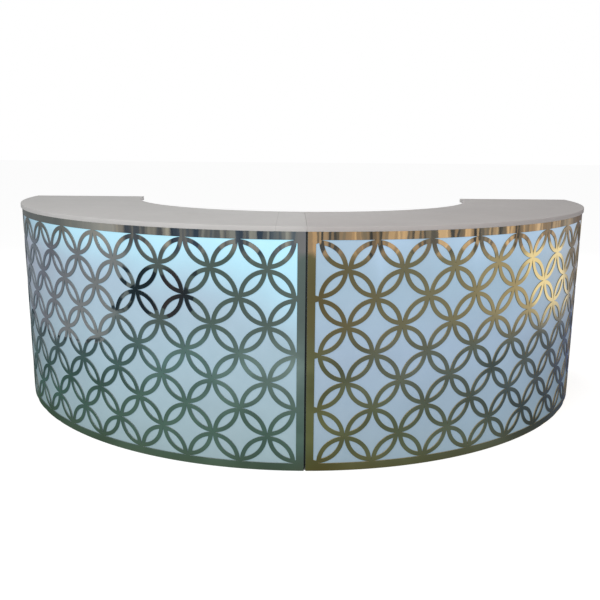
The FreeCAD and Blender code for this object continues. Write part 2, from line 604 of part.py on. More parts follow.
def build_module(side):
    """The pieces of a right-hand module, by the name that follows the module's side."""
    shelf_outer = "(%s - Sizes.skin_gap)" % BACK_INNER
    front_edge = "(%s - Sizes.skin_gap)" % BOARD_FRONT
    joint_inside, outer_inside = (JOINT_END, INSIDE_PANELS), (OUTER_END, INSIDE_PANELS)
    middle = (MIDDLE, INSIDE_PARTITION)
    carcass = "Sizes.carcass_inner_radius"
    return {
        "counter_top": counter_top(side + "counter_top"),
        "top_rail": sector_body(side + "top_rail", BACK_INNER, BOARD_FRONT, RAIL_UNDERSIDE,
                                "Sizes.board_thickness", joint_inside, outer_inside),
        "base_board": sector_body(side + "base_board", carcass, BOARD_FRONT, "Sizes.glide_height",
                                  "Sizes.board_thickness", (JOINT_END, HALF_GAP), (OUTER_END, HALF_GAP)),
        "joint_end_panel": radial_board(side + "joint_end_panel", JOINT_END, HALF_GAP, carcass, front_edge,
                                        BASE_TOP, TOP_UNDERSIDE),
        "outer_end_panel": radial_board(side + "outer_end_panel", OUTER_END, "(0 - %s)" % PANEL_FACE,
                                        carcass, front_edge, BASE_TOP, TOP_UNDERSIDE),
        "centre_partition": radial_board(side + "centre_partition", MIDDLE,
                                         "(0 - Sizes.board_thickness / 2)",
                                         carcass, shelf_outer, BASE_TOP, TOP_UNDERSIDE),
        "light_box_back": light_box_back(side + "light_box_back"),
        "joint_bay_shelf": sector_body(side + "joint_bay_shelf", "Sizes.shelf_inner_radius", shelf_outer,
                                       "Sizes.shelf_height", "Sizes.board_thickness", joint_inside, middle),
        "outer_bay_shelf": sector_body(side + "outer_bay_shelf", "Sizes.shelf_inner_radius", shelf_outer,
                                       "Sizes.shelf_height", "Sizes.board_thickness", middle, outer_inside),
        "diffuser": sector_body(side + "diffuser", DIFFUSER_BACK, DIFFUSER_FACE, "Sizes.glide_height",
                                SKIN_HEIGHT, (JOINT_END, "Sizes.panel_edge_gap"),
                                (OUTER_END, "Sizes.panel_edge_gap")),
        "lamp_strip": sector_body(side + "lamp_strip", LAMP_INNER, LAMP_OUTER,
                                  "%s - Sizes.lamp_thickness" % RAIL_UNDERSIDE, "Sizes.lamp_thickness",
                                  joint_inside, outer_inside),
        "lamp_lead": lamp_lead(side + "lamp_lead"),
        "driver_case": driver_case(side + "driver_case"),
        "driver_lid": driver_lid(side + "driver_lid"),
        "power_inlet": power_inlet(side + "power_inlet"),
        "switch_bezel": switch_bezel(side + "switch_bezel"),
        "switch_rocker": switch_rocker(side + "switch_rocker"),
        "glides": glides(side + "glides"),
        "top_brackets": top_brackets(side + "top_brackets"),
    }


def mirrored(name, source):
    """The left-hand twin of a right-hand piece."""
    twin = doc.addObject("Part::Mirroring", name)
    twin.Source = source
    twin.Base = Vector(0, 0, 0)
    twin.Normal = Vector(1, 0, 0)
    return twin


# The two modules: the left one is the mirror image of the right one, apart from where its rings start
pieces = {}
for node, piece in build_module("right_").items():
    pieces["right_" + node] = piece
    pieces["left_" + node] = mirrored("left_" + node, piece)
pieces["right_lattice_panel"] = lattice("right_lattice_panel", "Sizes.right_stile_margin")
left_pattern = lattice("left_lattice_pattern", "Sizes.left_stile_margin")
pieces["left_lattice_panel"] = mirrored("left_lattice_panel", left_pattern)
doc.recompute()

# Every object has to be sound before anything is written
for item in doc.Objects:
    if "Invalid" in item.State or "Error" in item.State:
        raise RuntimeError("%s did not build: %s" % (item.Name, item.State))
for node, piece in pieces.items():
    piece.Label = node
    if piece.Shape.isNull() or not piece.Shape.isValid() or not piece.Shape.Solids:
        raise RuntimeError("%s has no sound solid" % node)

os.makedirs("parts", exist_ok=True)
for node, piece in sorted(pieces.items()):
    piece.Shape.exportStep("parts/%s.step" % node)
    print("%-26s solids %2d  volume %.0f mm3" % (node, len(piece.Shape.Solids), piece.Shape.Volume))
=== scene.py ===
# Lit bar counter: the looks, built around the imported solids.
# Metres, +Z up. The public side faces -Y and the two modules meet at x = 0.
import json
import math

import bmesh
import bpy
from mathutils import Matrix, Vector


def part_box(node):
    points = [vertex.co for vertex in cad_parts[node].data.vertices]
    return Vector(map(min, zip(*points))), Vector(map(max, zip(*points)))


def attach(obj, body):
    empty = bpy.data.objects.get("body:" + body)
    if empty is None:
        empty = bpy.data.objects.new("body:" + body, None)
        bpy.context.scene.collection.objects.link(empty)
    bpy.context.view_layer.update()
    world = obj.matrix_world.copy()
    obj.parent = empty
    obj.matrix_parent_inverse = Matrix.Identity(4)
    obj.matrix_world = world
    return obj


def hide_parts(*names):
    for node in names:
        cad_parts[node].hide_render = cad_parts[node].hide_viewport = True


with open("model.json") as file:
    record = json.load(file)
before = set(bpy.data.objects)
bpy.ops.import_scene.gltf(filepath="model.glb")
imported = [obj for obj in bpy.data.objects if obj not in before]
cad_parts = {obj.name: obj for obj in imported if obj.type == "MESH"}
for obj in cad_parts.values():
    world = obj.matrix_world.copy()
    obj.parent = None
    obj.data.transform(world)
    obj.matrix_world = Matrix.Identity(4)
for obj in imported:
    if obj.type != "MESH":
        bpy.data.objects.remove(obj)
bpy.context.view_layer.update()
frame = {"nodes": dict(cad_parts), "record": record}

scene = bpy.context.scene
scene.view_settings.view_transform = "Standard"

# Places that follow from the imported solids; the ring is the half circle that both modules stand on
TOP_LOW, TOP_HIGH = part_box("right_counter_top")
PANEL_LOW, PANEL_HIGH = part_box("right_lattice_panel")
RING_CENTRE = Vector((0, TOP_LOW.y + TOP_HIGH.x, 0))
FACE_RADIUS = RING_CENTRE.y - PANEL_LOW.y
DIFFUSER_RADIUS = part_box("right_diffuser")[1].x
SKIN_GAP = 0.0003
BACK_RADIUS = DIFFUSER_RADIUS + SKIN_GAP
PANEL_EDGE = PANEL_LOW.x
SIDES = (("left", -1), ("right", 1))

# The lattice pattern
PITCH = 0.250
HALF = PITCH / 2
RING_OUTER = 0.1255
RING_INNER = 0.1055
COLUMNS = 10
ROWS = 4
PATTERN_LENGTH = COLUMNS * PITCH
PATTERN_HEIGHT = ROWS * PITCH
STILE = 0.035
STILE_MARGIN = {"left": 0.003, "right": 0.013}
OUTER_MARGIN = 0.010
BAND_MARGIN = 0.001
BRIDGE = 0.030
RIM_EASE = 0.0004
METALS = {"left": "silver_metal", "right": "gold_metal"}
# From a ring crossing: how far off its rings' outer edges meet, and how far along and up a petal's tip is
CROSSING_REACH = math.sqrt(RING_OUTER ** 2 - HALF ** 2)
PETAL_TIP = (HALF - math.sqrt(2 * RING_INNER ** 2 - HALF ** 2)) / 2
# Straight pieces to an arc, to a band between two ties and across the outer stile
ARC_STEPS = 12
BAND_STEPS = 6
STILE_STEPS = 4

# Small forms: eased edges, the inlet's recess and blades, the rocker's marks, the brackets' legs and screws
BOARD_EASE = 0.0008
SMALL_EASE = 0.0004
INLET_RECESS = 0.016
BLADE_LENGTH = 0.012
BLADE_REACH = (0.0085, 0.0065)
MARK_RADIUS = 0.0019
MARK_STROKE = 0.0006
MARK_RISE = 0.00005
MARK_STEPS = 24
BRACKET_LEG = 0.0375
BRACKET_WIDTH = 0.024
LEG_TOLERANCE = 0.02
SCREW_RADIUS = 0.0038
SCREW_INSET = 0.007
# A screw's head and its cross recess, as shares of the head's radius: each row a width and a height
HEAD_PROFILE = ((1.0, 0.0), (1.0, 0.22), (0.86, 0.42), (0.66, 0.50))
RECESS_PROFILE = ((1.0, 0.52), (0.6, 0.20))
RECESS_ARM, RECESS_HALF = 0.50, 0.11

# How meshes are read: points that are one, faces in one plane, edges smooth or sharp, faces turned one way
WELD = 1e-6
WELD_DIGITS = 6
FLAT_ANGLE = math.radians(0.5)
SMOOTH_ANGLE = math.radians(30)
SHARP_ANGLE = math.radians(40)
FACING = 0.9

# Ranges of noise over which a finish changes, and how far a satin's roughness wanders from its middle
USUAL, NARROW = (0.3, 0.7), (0.35, 0.65)
SATIN_LESS, SATIN_MORE = 0.06, 0.08
WHITE = (1.0, 1.0, 1.0)
# Places of the colour sockets on a mix node
MIX_INPUTS, MIX_OUTPUT = (0, 6, 7), 2


class Nodes:
    """A node tree, with short calls for the nodes that are used here."""

    def __init__(self, tree):
        self.nodes = tree.nodes
        self.links = tree.links

    def add(self, kind, **settings):
        """A node with its settings."""
        node = self.nodes.new(kind)
        for key, setting in settings.items():
            setattr(node, key, setting)
        return node

    def feed(self, source, socket):
        """A number, a colour or another node's output into a socket."""
        if isinstance(source, bpy.types.NodeSocket):
            self.links.new(source, socket)
        elif isinstance(source, (int, float)):
            socket.default_value = source
        else:
            socket.default_value = (*source, 1)

    def spread(self, output, low, high, near=0.0, far=1.0, curve="LINEAR"):
        """A number moved from the range near to far into the range low to high."""
        node = self.add("ShaderNodeMapRange", interpolation_type=curve)
        for key, number in (("From Min", near), ("From Max", far), ("To Min", low), ("To Max", high)):
            node.inputs[key].default_value = number
        self.links.new(output, node.inputs["Value"])
        return node.outputs["Result"]

    def ramp(self, output, *stops):
        """Colours along a number, each stop a place and a colour or a level of grey."""
        node = self.add("ShaderNodeValToRGB")
        elements = node.color_ramp.elements
        while len(elements) < len(stops):
            elements.new(0.5)
        for element, (place, tone) in zip(elements, stops):
            element.position = place
            element.color = (*tone, 1) if isinstance(tone, tuple) else (tone, tone, tone, 1)
        self.links.new(output, node.inputs["Fac"])
        return node.outputs["Color"]

    def mix(self, factor, first, second, blend_type="MIX"):
        """Two colours, mixed by a number."""
        node = self.add("ShaderNodeMix", data_type="RGBA", blend_type=blend_type)
        for source, socket in zip((factor, first, second), MIX_INPUTS):
            self.feed(source, node.inputs[socket])
        return node.outputs[MIX_OUTPUT]

    def work(self, operation, first, second=0.0):
        """Arithmetic on one or two numbers."""
        node = self.add("ShaderNodeMath", operation=operation)
        self.feed(first, node.inputs[0])
        self.feed(second, node.inputs[1])
        return node.outputs[0]

    def off(self, output, middle):
        """How far a number is from a middle."""
        return self.work("ABSOLUTE", self.work("SUBTRACT", output, middle))

    def window(self, output, middle, reach):
        """1 where a number lies within reach of a middle, otherwise 0."""
        return self.work("LESS_THAN", self.off(output, middle), reach)

    def chance(self, output, dimensions, scale):
        """A chance number from 0 to 1 for each cell of a number, 1D, or of a vector, 2D."""
        node = self.add("ShaderNodeTexVoronoi", voronoi_dimensions=dimensions)
        node.inputs["Scale"].default_value = scale
        self.links.new(output, node.inputs["W" if dimensions == "1D" else "Vector"])
        split = self.add("ShaderNodeSeparateColor")
        self.links.new(node.outputs["Color"], split.inputs["Color"])
        return split.outputs["Red"]

    def seen(self):
        """1 where a ray comes from the camera, a mirror or a glass, otherwise 0."""
        path = self.add("ShaderNodeLightPath")
        mirror = self.work("MAXIMUM", path.outputs["Is Glossy Ray"], path.outputs["Is Transmission Ray"])
        return self.work("MAXIMUM", path.outputs["Is Camera Ray"], mirror)


class Shader(Nodes):
    """A new material and its nodes, in the object's own coordinates."""

    def __init__(self, name):
        self.material = bpy.data.materials.new(name)
        self.material.use_nodes = True
        super().__init__(self.material.node_tree)
        self.surface = self.nodes["Principled BSDF"]
        self.coordinates = self.add("ShaderNodeTexCoord").outputs["Object"]

    def set(self, **sockets):
        """Numbers, colours and outputs into the surface's own sockets."""
        for key, source in sockets.items():
            self.feed(source, self.surface.inputs[key.replace("_", " ")])

    def noise(self, scale, detail, stretch=None):
        """Noise from 0 to 1, drawn out along an axis where stretch says so."""
        node = self.add("ShaderNodeTexNoise")
        node.inputs["Scale"].default_value = scale
        node.inputs["Detail"].default_value = detail
        source = self.coordinates
        if stretch:
            mapping = self.add("ShaderNodeMapping")
            mapping.inputs["Scale"].default_value = stretch
            self.links.new(source, mapping.inputs["Vector"])
            source = mapping.outputs["Vector"]
        self.links.new(source, node.inputs["Vector"])
        return node.outputs["Fac"]

    def mottle(self, noise, deep, pale, reach=USUAL):
        """A colour that wanders between two with a noise."""
        return self.ramp(noise, (reach[0], deep), (reach[1], pale))

    def wander(self, noise, low, high, reach=USUAL):
        """A number that wanders between two with a noise."""
        return self.spread(noise, low, high, *reach)

    def satin(self, noise, roughness):
        """A roughness that wanders a little round its middle."""
        return self.wander(noise, roughness - SATIN_LESS, roughness + SATIN_MORE)

    def bump(self, output, strength, distance):
        """Relief from a number."""
        node = self.add("ShaderNodeBump")
        node.inputs["Strength"].default_value = strength
        node.inputs["Distance"].default_value = distance
        self.links.new(output, node.inputs["Height"])
        self.set(Normal=node.outputs["Normal"])

    def axis(self, letter):
        """One of the object's own coordinates."""
        node = self.add("ShaderNodeSeparateXYZ")
        self.links.new(self.coordinates, node.inputs["Vector"])
        return node.outputs[letter]

    def from_ring(self):
        """Sideways and forward distances from the ring's centre."""
        return self.axis("X"), self.work("SUBTRACT", RING_CENTRE.y, self.axis("Y"))

    def bearing(self):
        """The direction from the ring's axis in radians: 0 straight ahead, more to the right."""
        return self.work("ARCTAN2", *self.from_ring())

    def radius(self):
        """The distance from the ring's axis."""
        across, ahead = self.from_ring()
        squares = self.work("ADD", self.work("POWER", across, 2.0), self.work("POWER", ahead, 2.0))
        return self.work("SQRT", squares)


def polished_metal(name, pale, deep):
    """Mirror-polished sheet: slow waves, faint wiping marks and a little cloud in its tone."""
    shader = Shader(name)
    tone = shader.mottle(shader.noise(scale=3.0, detail=4), deep, pale, NARROW)
    haze = shader.wander(shader.noise(scale=22.0, detail=5, stretch=(1, 1, 0.25)), 0.02, 0.06)
    shader.set(Metallic=1.0, Base_Color=tone, Roughness=haze)
    shader.bump(shader.noise(scale=6.0, detail=2), strength=0.25, distance=0.004)
    return shader.material


def cut_edge(name, pale, deep):
    """The laser-cut edge of the sheet: dull, darker, with fine lines through its thickness."""
    shader = Shader(name)
    lines = shader.noise(scale=900.0, detail=2)
    tone = shader.mottle(lines, deep, pale)
    shader.set(Metallic=1.0, Base_Color=tone, Roughness=shader.wander(lines, 0.45, 0.65))
    shader.bump(lines, strength=0.3, distance=0.0003)
    return shader.material


# The fine joint in the left top: its place across, half its dark and whole widths, strength and tone
JOINT_PLACE = -0.130
JOINT_DARK, JOINT_WHOLE = 0.0008, 0.0016
JOINT_STRENGTH = 0.35
JOINT_TONE = (0.30, 0.29, 0.29)


def laminate(name, pale, deep, joint=None):
    """Matt laminate with the slightest mottling, and a fine joint across it where joint says."""
    shader = Shader(name)
    tone = shader.mottle(shader.noise(scale=4.0, detail=5), deep, pale)
    if joint is not None:
        off = shader.off(shader.axis("X"), joint)
        line = shader.spread(off, JOINT_STRENGTH, 0.0, JOINT_DARK, JOINT_WHOLE)
        tone = shader.mix(line, tone, JOINT_TONE)
    satin = shader.wander(shader.noise(scale=30.0, detail=4), 0.50, 0.66)
    shader.set(Base_Color=tone, Roughness=satin, Specular_IOR_Level=0.12)
    shader.bump(shader.noise(scale=1400.0, detail=2), strength=0.10, distance=0.0004)
    return shader.material


# Painted shade, black on the boards' front edges where the gap between the modules is dark: how far behind
# the acrylic's face it begins, its blur and tone
GAP_SHADE_DEPTH = 0.0063
GAP_SHADE_BLUR = 0.0003
GAP_SHADE_TONE = (0.012, 0.012, 0.013)


def faced_board(name, pale, deep, roughness):
    """White faced board with a fine pebbled skin; its front edges are painted black as shade in the gap
    between the modules.
    """
    shader = Shader(name)
    tone = shader.mottle(shader.noise(scale=5.0, detail=4), deep, pale)
    # Painted shade: past this radius the boards' front edges turn black, for the dark gap between the
    # modules
    gap_shade_start = DIFFUSER_RADIUS - GAP_SHADE_DEPTH
    gap_shade = shader.spread(shader.radius(), 0.0, 1.0, gap_shade_start - GAP_SHADE_BLUR, gap_shade_start)
    satin = shader.satin(shader.noise(scale=60.0, detail=3), roughness)
    shader.set(Base_Color=shader.mix(gap_shade, tone, GAP_SHADE_TONE), Roughness=satin)
    shader.bump(shader.noise(scale=900.0, detail=2), strength=0.12, distance=0.0006)
    return shader.material


# The lit sheets, in shares of their height and length: the tones' heights at the seam and at the far end,
# where the one passes into the other, how far down the fans of weak and strong lamps reach, how steeply so
SEAM_HEIGHTS = (0.0, 0.5, 0.78)
END_HEIGHTS = (0.0, 0.45, 0.85, 1.0)
SEAM_TO_END = (0.34, 0.88)
FAN_SHORT, FAN_LONG, FAN_POWER = 0.20, 0.58, 6.0


def lit_acrylic(name, seam, end, glow, lamps):
    """Opal sheet lit from its top: fans of light under the lamps, fading down and to the far end."""
    shader = Shader(name)
    rise = shader.spread(shader.axis("Z"), 0, 1, PANEL_LOW.z, PANEL_HIGH.z)
    along = shader.spread(shader.work("ABSOLUTE", shader.bearing()), 0, 1, 0, math.pi / 2)
    at_seam = shader.ramp(rise, *zip(SEAM_HEIGHTS, seam))
    at_end = shader.ramp(rise, *zip(END_HEIGHTS, end))
    body = shader.mix(shader.spread(along, 0, 1, *SEAM_TO_END, "SMOOTHSTEP"), at_seam, at_end)
    hot = shader.ramp(along, *lamps)
    reach = shader.spread(shader.work("POWER", hot, FAN_POWER), FAN_SHORT, FAN_LONG)
    fan = shader.work("DIVIDE", shader.spread(rise, 1, 0), reach)
    bright = shader.work("MULTIPLY", shader.spread(fan, 1, 0, 0, 1, "SMOOTHSTEP"), hot)
    cloud = shader.wander(shader.noise(scale=5.0, detail=3), 0.95, 1.05)
    light = shader.mix(1.0, shader.mix(bright, body, glow), cloud, "MULTIPLY")
    skin = shader.mottle(shader.noise(scale=9.0, detail=3), (0.17, 0.18, 0.19), (0.19, 0.20, 0.21))
    shader.set(Base_Color=skin, Roughness=0.4, Emission_Color=light, Emission_Strength=1.0)
    shader.bump(shader.noise(scale=250.0, detail=2), strength=0.05, distance=0.0005)
    return shader.material


# How far a plastic's colour lightens, and the range of noise over which it does
PLASTIC_GAIN, PLASTIC_LIFT = 1.2, 0.004
PLASTIC_REACH = (0.35, 0.7)


def moulded_plastic(name, colour, roughness, grain=700.0):
    """Moulded plastic or powder coat: one colour that wanders a little, and a fine grain."""
    shader = Shader(name)
    lighter = tuple(channel * PLASTIC_GAIN + PLASTIC_LIFT for channel in colour)
    tone = shader.mottle(shader.noise(scale=40.0, detail=3), colour, lighter, PLASTIC_REACH)
    satin = shader.satin(shader.noise(scale=90.0, detail=3), roughness)
    shader.set(Base_Color=tone, Roughness=satin)
    shader.bump(shader.noise(scale=grain, detail=2), strength=0.25, distance=0.0004)
    return shader.material


def plated_steel(name):
    """Zinc-plated steel: a cloudy, finely brushed grey."""
    shader = Shader(name)
    tone = shader.mottle(shader.noise(scale=35.0, detail=5), (0.42, 0.43, 0.45), (0.66, 0.67, 0.68))
    satin = shader.wander(shader.noise(scale=120.0, detail=4), 0.28, 0.5)
    shader.set(Metallic=1.0, Base_Color=tone, Roughness=satin)
    shader.bump(shader.noise(scale=500.0, detail=3), strength=0.15, distance=0.0004)
    return shader.material


# A lamp strip's emitters: their scale, how far from the middle one is bright and ends, the glow between
EMITTER_SCALE = 60.0
EMITTER_BRIGHT, EMITTER_END = 0.25, 0.45
EMITTER_BETWEEN = (0.25, 0.28, 0.30)


def lamp_face(name):
    """A lamp strip: pale board with small bright emitters."""
    shader = Shader(name)
    tone = shader.mottle(shader.noise(scale=80.0, detail=3), (0.75, 0.75, 0.70), (0.85, 0.85, 0.82))
    cells = shader.add("ShaderNodeTexVoronoi")
    cells.inputs["Scale"].default_value = EMITTER_SCALE
    shader.links.new(shader.coordinates, cells.inputs["Vector"])
    spot = shader.ramp(cells.outputs["Distance"], (EMITTER_BRIGHT, WHITE), (EMITTER_END, EMITTER_BETWEEN))
    shader.set(Base_Color=tone, Roughness=0.5, Emission_Color=spot, Emission_Strength=1.0)
    return shader.material


# One finish for each slot of the record. A lit sheet's tones are listed from bottom to top, and its lamps,
# each a place and a strength, from the seam to the far end
FINISHES = {
    # The right top's laminate is darker and pinker than the left top's: a shaded copy of the same laminate,
    # painted shade
    "top_laminate": laminate("top_laminate", (0.535, 0.515, 0.505), (0.505, 0.487, 0.477)),
    "carcass_board": faced_board("carcass_board", (0.79, 0.79, 0.775), (0.76, 0.76, 0.745), roughness=0.42),
    "silver_metal": polished_metal("silver_metal", (0.68, 0.71, 0.71), (0.58, 0.61, 0.61)),
    "gold_metal": polished_metal("gold_metal", (0.86, 0.68, 0.34), (0.74, 0.57, 0.27)),
    "opal_acrylic": lit_acrylic(
        "opal_acrylic",
        seam=((0.15, 0.24, 0.30), (0.22, 0.325, 0.445), (0.22, 0.35, 0.46)),
        end=((0.04, 0.07, 0.09), (0.05, 0.06, 0.07), (0.29, 0.26, 0.25), (0.28, 0.26, 0.30)),
        glow=(0.36, 0.54, 0.74),
        lamps=((0.0, 0.20), (0.08, 0.25), (0.12, 0.80), (0.20, 0.25), (0.30, 0.78),
               (0.38, 0.60), (0.50, 0.65), (0.60, 0.40), (0.80, 0.25), (1.0, 0.10))),
    "lamp": lamp_face("lamp"),
    "cable": moulded_plastic("cable", (0.68, 0.68, 0.66), roughness=0.45),
    "case_paint": moulded_plastic("case_paint", (0.52, 0.52, 0.52), roughness=0.45, grain=1100.0),
    "inlet_plastic": moulded_plastic("inlet_plastic", (0.018, 0.018, 0.018), roughness=0.45),
    "switch_plastic": moulded_plastic("switch_plastic", (0.018, 0.018, 0.018), roughness=0.45),
    "rocker_plastic": moulded_plastic("rocker_plastic", (0.015, 0.015, 0.015), roughness=0.22),
    "glide_plastic": moulded_plastic("glide_plastic", (0.02, 0.02, 0.02), roughness=0.5),
    "zinc_steel": plated_steel("zinc_steel"),
}
# Finishes of single nodes, edges and marks
NODE_FINISHES = {
    "left_diffuser": lit_acrylic(
        "opal_acrylic_cool",
        seam=((0.17, 0.27, 0.295), (0.24, 0.375, 0.46), (0.265, 0.395, 0.51)),
        end=((0.05, 0.10, 0.11), (0.07, 0.095, 0.12), (0.14, 0.105, 0.14), (0.01, 0.02, 0.04)),
        glow=(0.38, 0.78, 0.94),
        lamps=((0.0, 1.0), (0.12, 0.88), (0.20, 0.80), (0.25, 0.84), (0.38, 0.70),
               (0.50, 0.64), (0.62, 0.35), (0.80, 0.10), (1.0, 0.0))),
    # The left top's laminate is lighter than the right top's: a lit copy of the same laminate, painted
    # light as from the left
    "left_counter_top": laminate(
        "top_laminate_jointed_painted_lighter", (0.588, 0.58, 0.57), (0.557, 0.55, 0.54), joint=JOINT_PLACE),
}
CUT_EDGES = {"left": cut_edge("silver_cut_edge", (0.36, 0.39, 0.39), (0.20, 0.22, 0.22)),
             "right": cut_edge("gold_cut_edge", (0.46, 0.36, 0.19), (0.26, 0.20, 0.10))}
EDGE_BAND = faced_board("carcass_edge_band", (0.73, 0.73, 0.71), (0.70, 0.70, 0.68), roughness=0.32)
PRINT = moulded_plastic("mark_print", (0.70, 0.70, 0.68), roughness=0.5)
CONTACT = plated_steel("contact_metal")


def finish_of(node, slot):
    """A node's own finish, or else the one of its slot."""
    return NODE_FINISHES.get(node, FINISHES[slot])


for row in frame["record"]["subparts"]:
    for place in frame["nodes"][row["node"]].material_slots:
        place.material = finish_of(row["node"], row["material_slot"])


def link(item):
    """Put a new object in the scene."""
    scene.collection.objects.link(item)
    return item


def mesh_object(name, shape, *materials):
    """A new object from a bmesh, smooth except at edges that turn by more than the smooth angle."""
    mesh = bpy.data.meshes.new(name)
    shape.to_mesh(mesh)
    shape.free()
    for material in materials:
        mesh.materials.append(material)
    for polygon in mesh.polygons:
        polygon.use_smooth = True
    mesh.set_sharp_from_angle(angle=SMOOTH_ANGLE)
    return link(bpy.data.objects.new(name, mesh))


def piece(item, body, slot, *nodes):
    """Let a new piece ride on a body and stand for nodes, which are hidden; slot is not used."""
    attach(item, body)
    if nodes:
        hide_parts(*nodes)


def ring_arc(centre, radius, first, last):
    """Points along a round edge, between the directions of two points from its centre."""
    start, end = (math.atan2(v - centre[1], u - centre[0]) for u, v in (first, last))
    points = []
    for step in range(ARC_STEPS + 1):
        turn = start + (end - start) * step / ARC_STEPS
        points.append((centre[0] + radius * math.cos(turn), centre[1] + radius * math.sin(turn)))
    return points


def cell_faces():
    """The metal in a square with ring crossings at two corners: two arms. u is along, v is up."""
    centre = (0.0, HALF)
    inner = ring_arc(centre, RING_INNER, (PETAL_TIP, PETAL_TIP), (HALF - PETAL_TIP, HALF - PETAL_TIP))
    outer = ring_arc(centre, RING_OUTER, (CROSSING_REACH, 0.0), (HALF, HALF - CROSSING_REACH))
    arm = [[(0.0, 0.0), outer[0], inner[0]], [(HALF, HALF), inner[-1], outer[-1]]]
    for step in range(ARC_STEPS):
        arm.append([inner[step], outer[step], outer[step + 1], inner[step + 1]])
    return arm + [[(v, u) for u, v in face] for face in arm]


def ring_faces():
    """The arms of all the rings, square by square, measured from the first and lowest ring crossing."""
    faces = []
    cell = cell_faces()
    for column in range(2 * COLUMNS):
        for row in range(2 * ROWS):
            for face in cell:
                points = face if (column + row) % 2 == 0 else [(HALF - u, v) for u, v in face]
                faces.append([(u + column * HALF, v + row * HALF) for u, v in points])
    return faces


def tie_faces(index, count, margin):
    """The metal that ties an edge crossing to its band or stile, on each side where the edge goes on."""
    return [[(0.0, 0.0), (way * CROSSING_REACH, 0.0), (way * BRIDGE / 2, margin), (0.0, margin)]
            for way in (-1, 1) if 0 <= index + way <= count]


def edge_ties(first_margin):
    """The ties along the pattern's four edges."""
    faces = []
    for index in range(COLUMNS + 1):
        for face in tie_faces(index, COLUMNS, BAND_MARGIN):
            faces.append([(u + index * PITCH, v + PATTERN_HEIGHT) for u, v in face])
            faces.append([(u + index * PITCH, -v) for u, v in face])
    for index in range(ROWS + 1):
        for face in tie_faces(index, ROWS, first_margin):
            faces.append([(-v, u + index * PITCH) for u, v in face])
        for face in tie_faces(index, ROWS, OUTER_MARGIN):
            faces.append([(v + PATTERN_LENGTH, u + index * PITCH) for u, v in face])
    return faces


def edge_breaks(count):
    """Places along an edge of the pattern where its quads begin: at the ties and evenly between them."""
    places = [0.0]
    for index in range(count):
        start = index * PITCH + BRIDGE / 2
        run = PITCH - BRIDGE
        places += [start + run * step / BAND_STEPS for step in range(BAND_STEPS + 1)]
        places.append((index + 1) * PITCH)
    return places


def grid_faces(alongs, ups):
    """Quads between two lists of places."""
    return [[(left, low), (right, low), (right, high), (left, high)]
            for left, right in zip(alongs, alongs[1:]) for low, high in zip(ups, ups[1:])]


def border_faces(first_margin, length, height):
    """The plain stiles and bands round the pattern, and the small corners between its edges."""
    outer_edge = PATTERN_LENGTH + OUTER_MARGIN
    outer_stile = length - STILE - first_margin - outer_edge
    band = (height - PATTERN_HEIGHT) / 2 - BAND_MARGIN
    first_side = [-first_margin - STILE, -first_margin]
    last_side = [outer_edge + outer_stile * step / STILE_STEPS for step in range(STILE_STEPS + 1)]
    ups = [-BAND_MARGIN] + edge_breaks(ROWS) + [PATTERN_HEIGHT + BAND_MARGIN]
    alongs = first_side + edge_breaks(COLUMNS) + last_side
    faces = grid_faces(first_side, ups) + grid_faces(last_side, ups)
    for low in (-BAND_MARGIN - band, PATTERN_HEIGHT + BAND_MARGIN):
        faces += grid_faces(alongs, [low, low + band])
    for low in (-BAND_MARGIN, PATTERN_HEIGHT):
        faces += grid_faces([-first_margin, 0.0], [low, low + BAND_MARGIN])
        faces += grid_faces([PATTERN_LENGTH, outer_edge], [low, low + BAND_MARGIN])
    return faces


def lattice_panel(label, side):
    """The curved metal lattice: a cut sheet with polished faces, dull cut edges and eased front rims."""
    margin = STILE_MARGIN[label]
    length = FACE_RADIUS * math.pi / 2 - 2 * PANEL_EDGE
    height = PANEL_HIGH.z - PANEL_LOW.z
    first = PANEL_EDGE + STILE + margin
    lowest = PANEL_LOW.z + (height - PATTERN_HEIGHT) / 2
    shape = bmesh.new()

    def corner(point, known, radius):
        """A place of the flat pattern rolled to a radius: a new vertex, or the one that is known there."""
        u, v = point
        key = (round(u, WELD_DIGITS), round(v, WELD_DIGITS))
        if key not in known:
            turn = (first + u) / FACE_RADIUS
            known[key] = shape.verts.new((side * radius * math.sin(turn),
                                          RING_CENTRE.y - radius * math.cos(turn), lowest + v))
        return known[key]

    fronts, backs, walls = {}, {}, {}
    for face in ring_faces() + edge_ties(margin) + border_faces(margin, length, height):
        front = [corner(point, fronts, FACE_RADIUS) for point in face]
        back = [corner(point, backs, BACK_RADIUS) for point in face]
        shape.faces.new(front)
        shape.faces.new(back[::-1])
        for index, start in enumerate(front):
            after = (index + 1) % len(face)
            wall = (start, front[after], back[after], back[index])
            walls.setdefault(frozenset(wall[:2]), []).append(wall)
    rims = []
    for found in walls.values():
        if len(found) == 1:
            shape.faces.new(found[0]).material_index = 1
            rims.append(shape.edges.get(found[0][:2]))
    bmesh.ops.recalc_face_normals(shape, faces=shape.faces)
    bmesh.ops.bevel(shape, geom=rims, offset=RIM_EASE, segments=1, affect="EDGES", clamp_overlap=True,
                    material=1)
    panel = mesh_object(label + "_lattice", shape, FINISHES[METALS[label]], CUT_EDGES[label])
    piece(panel, label + "_module", METALS[label], label + "_lattice_panel")


def solid_faces(node):
    """A CAD node's mesh with its flat faces whole, to work on as a copy."""
    shape = bmesh.new()
    shape.from_mesh(frame["nodes"][node].data)
    bmesh.ops.remove_doubles(shape, verts=shape.verts, dist=WELD)
    bmesh.ops.dissolve_limit(shape, angle_limit=FLAT_ANGLE, verts=shape.verts, edges=shape.edges)
    shape.normal_update()
    return shape


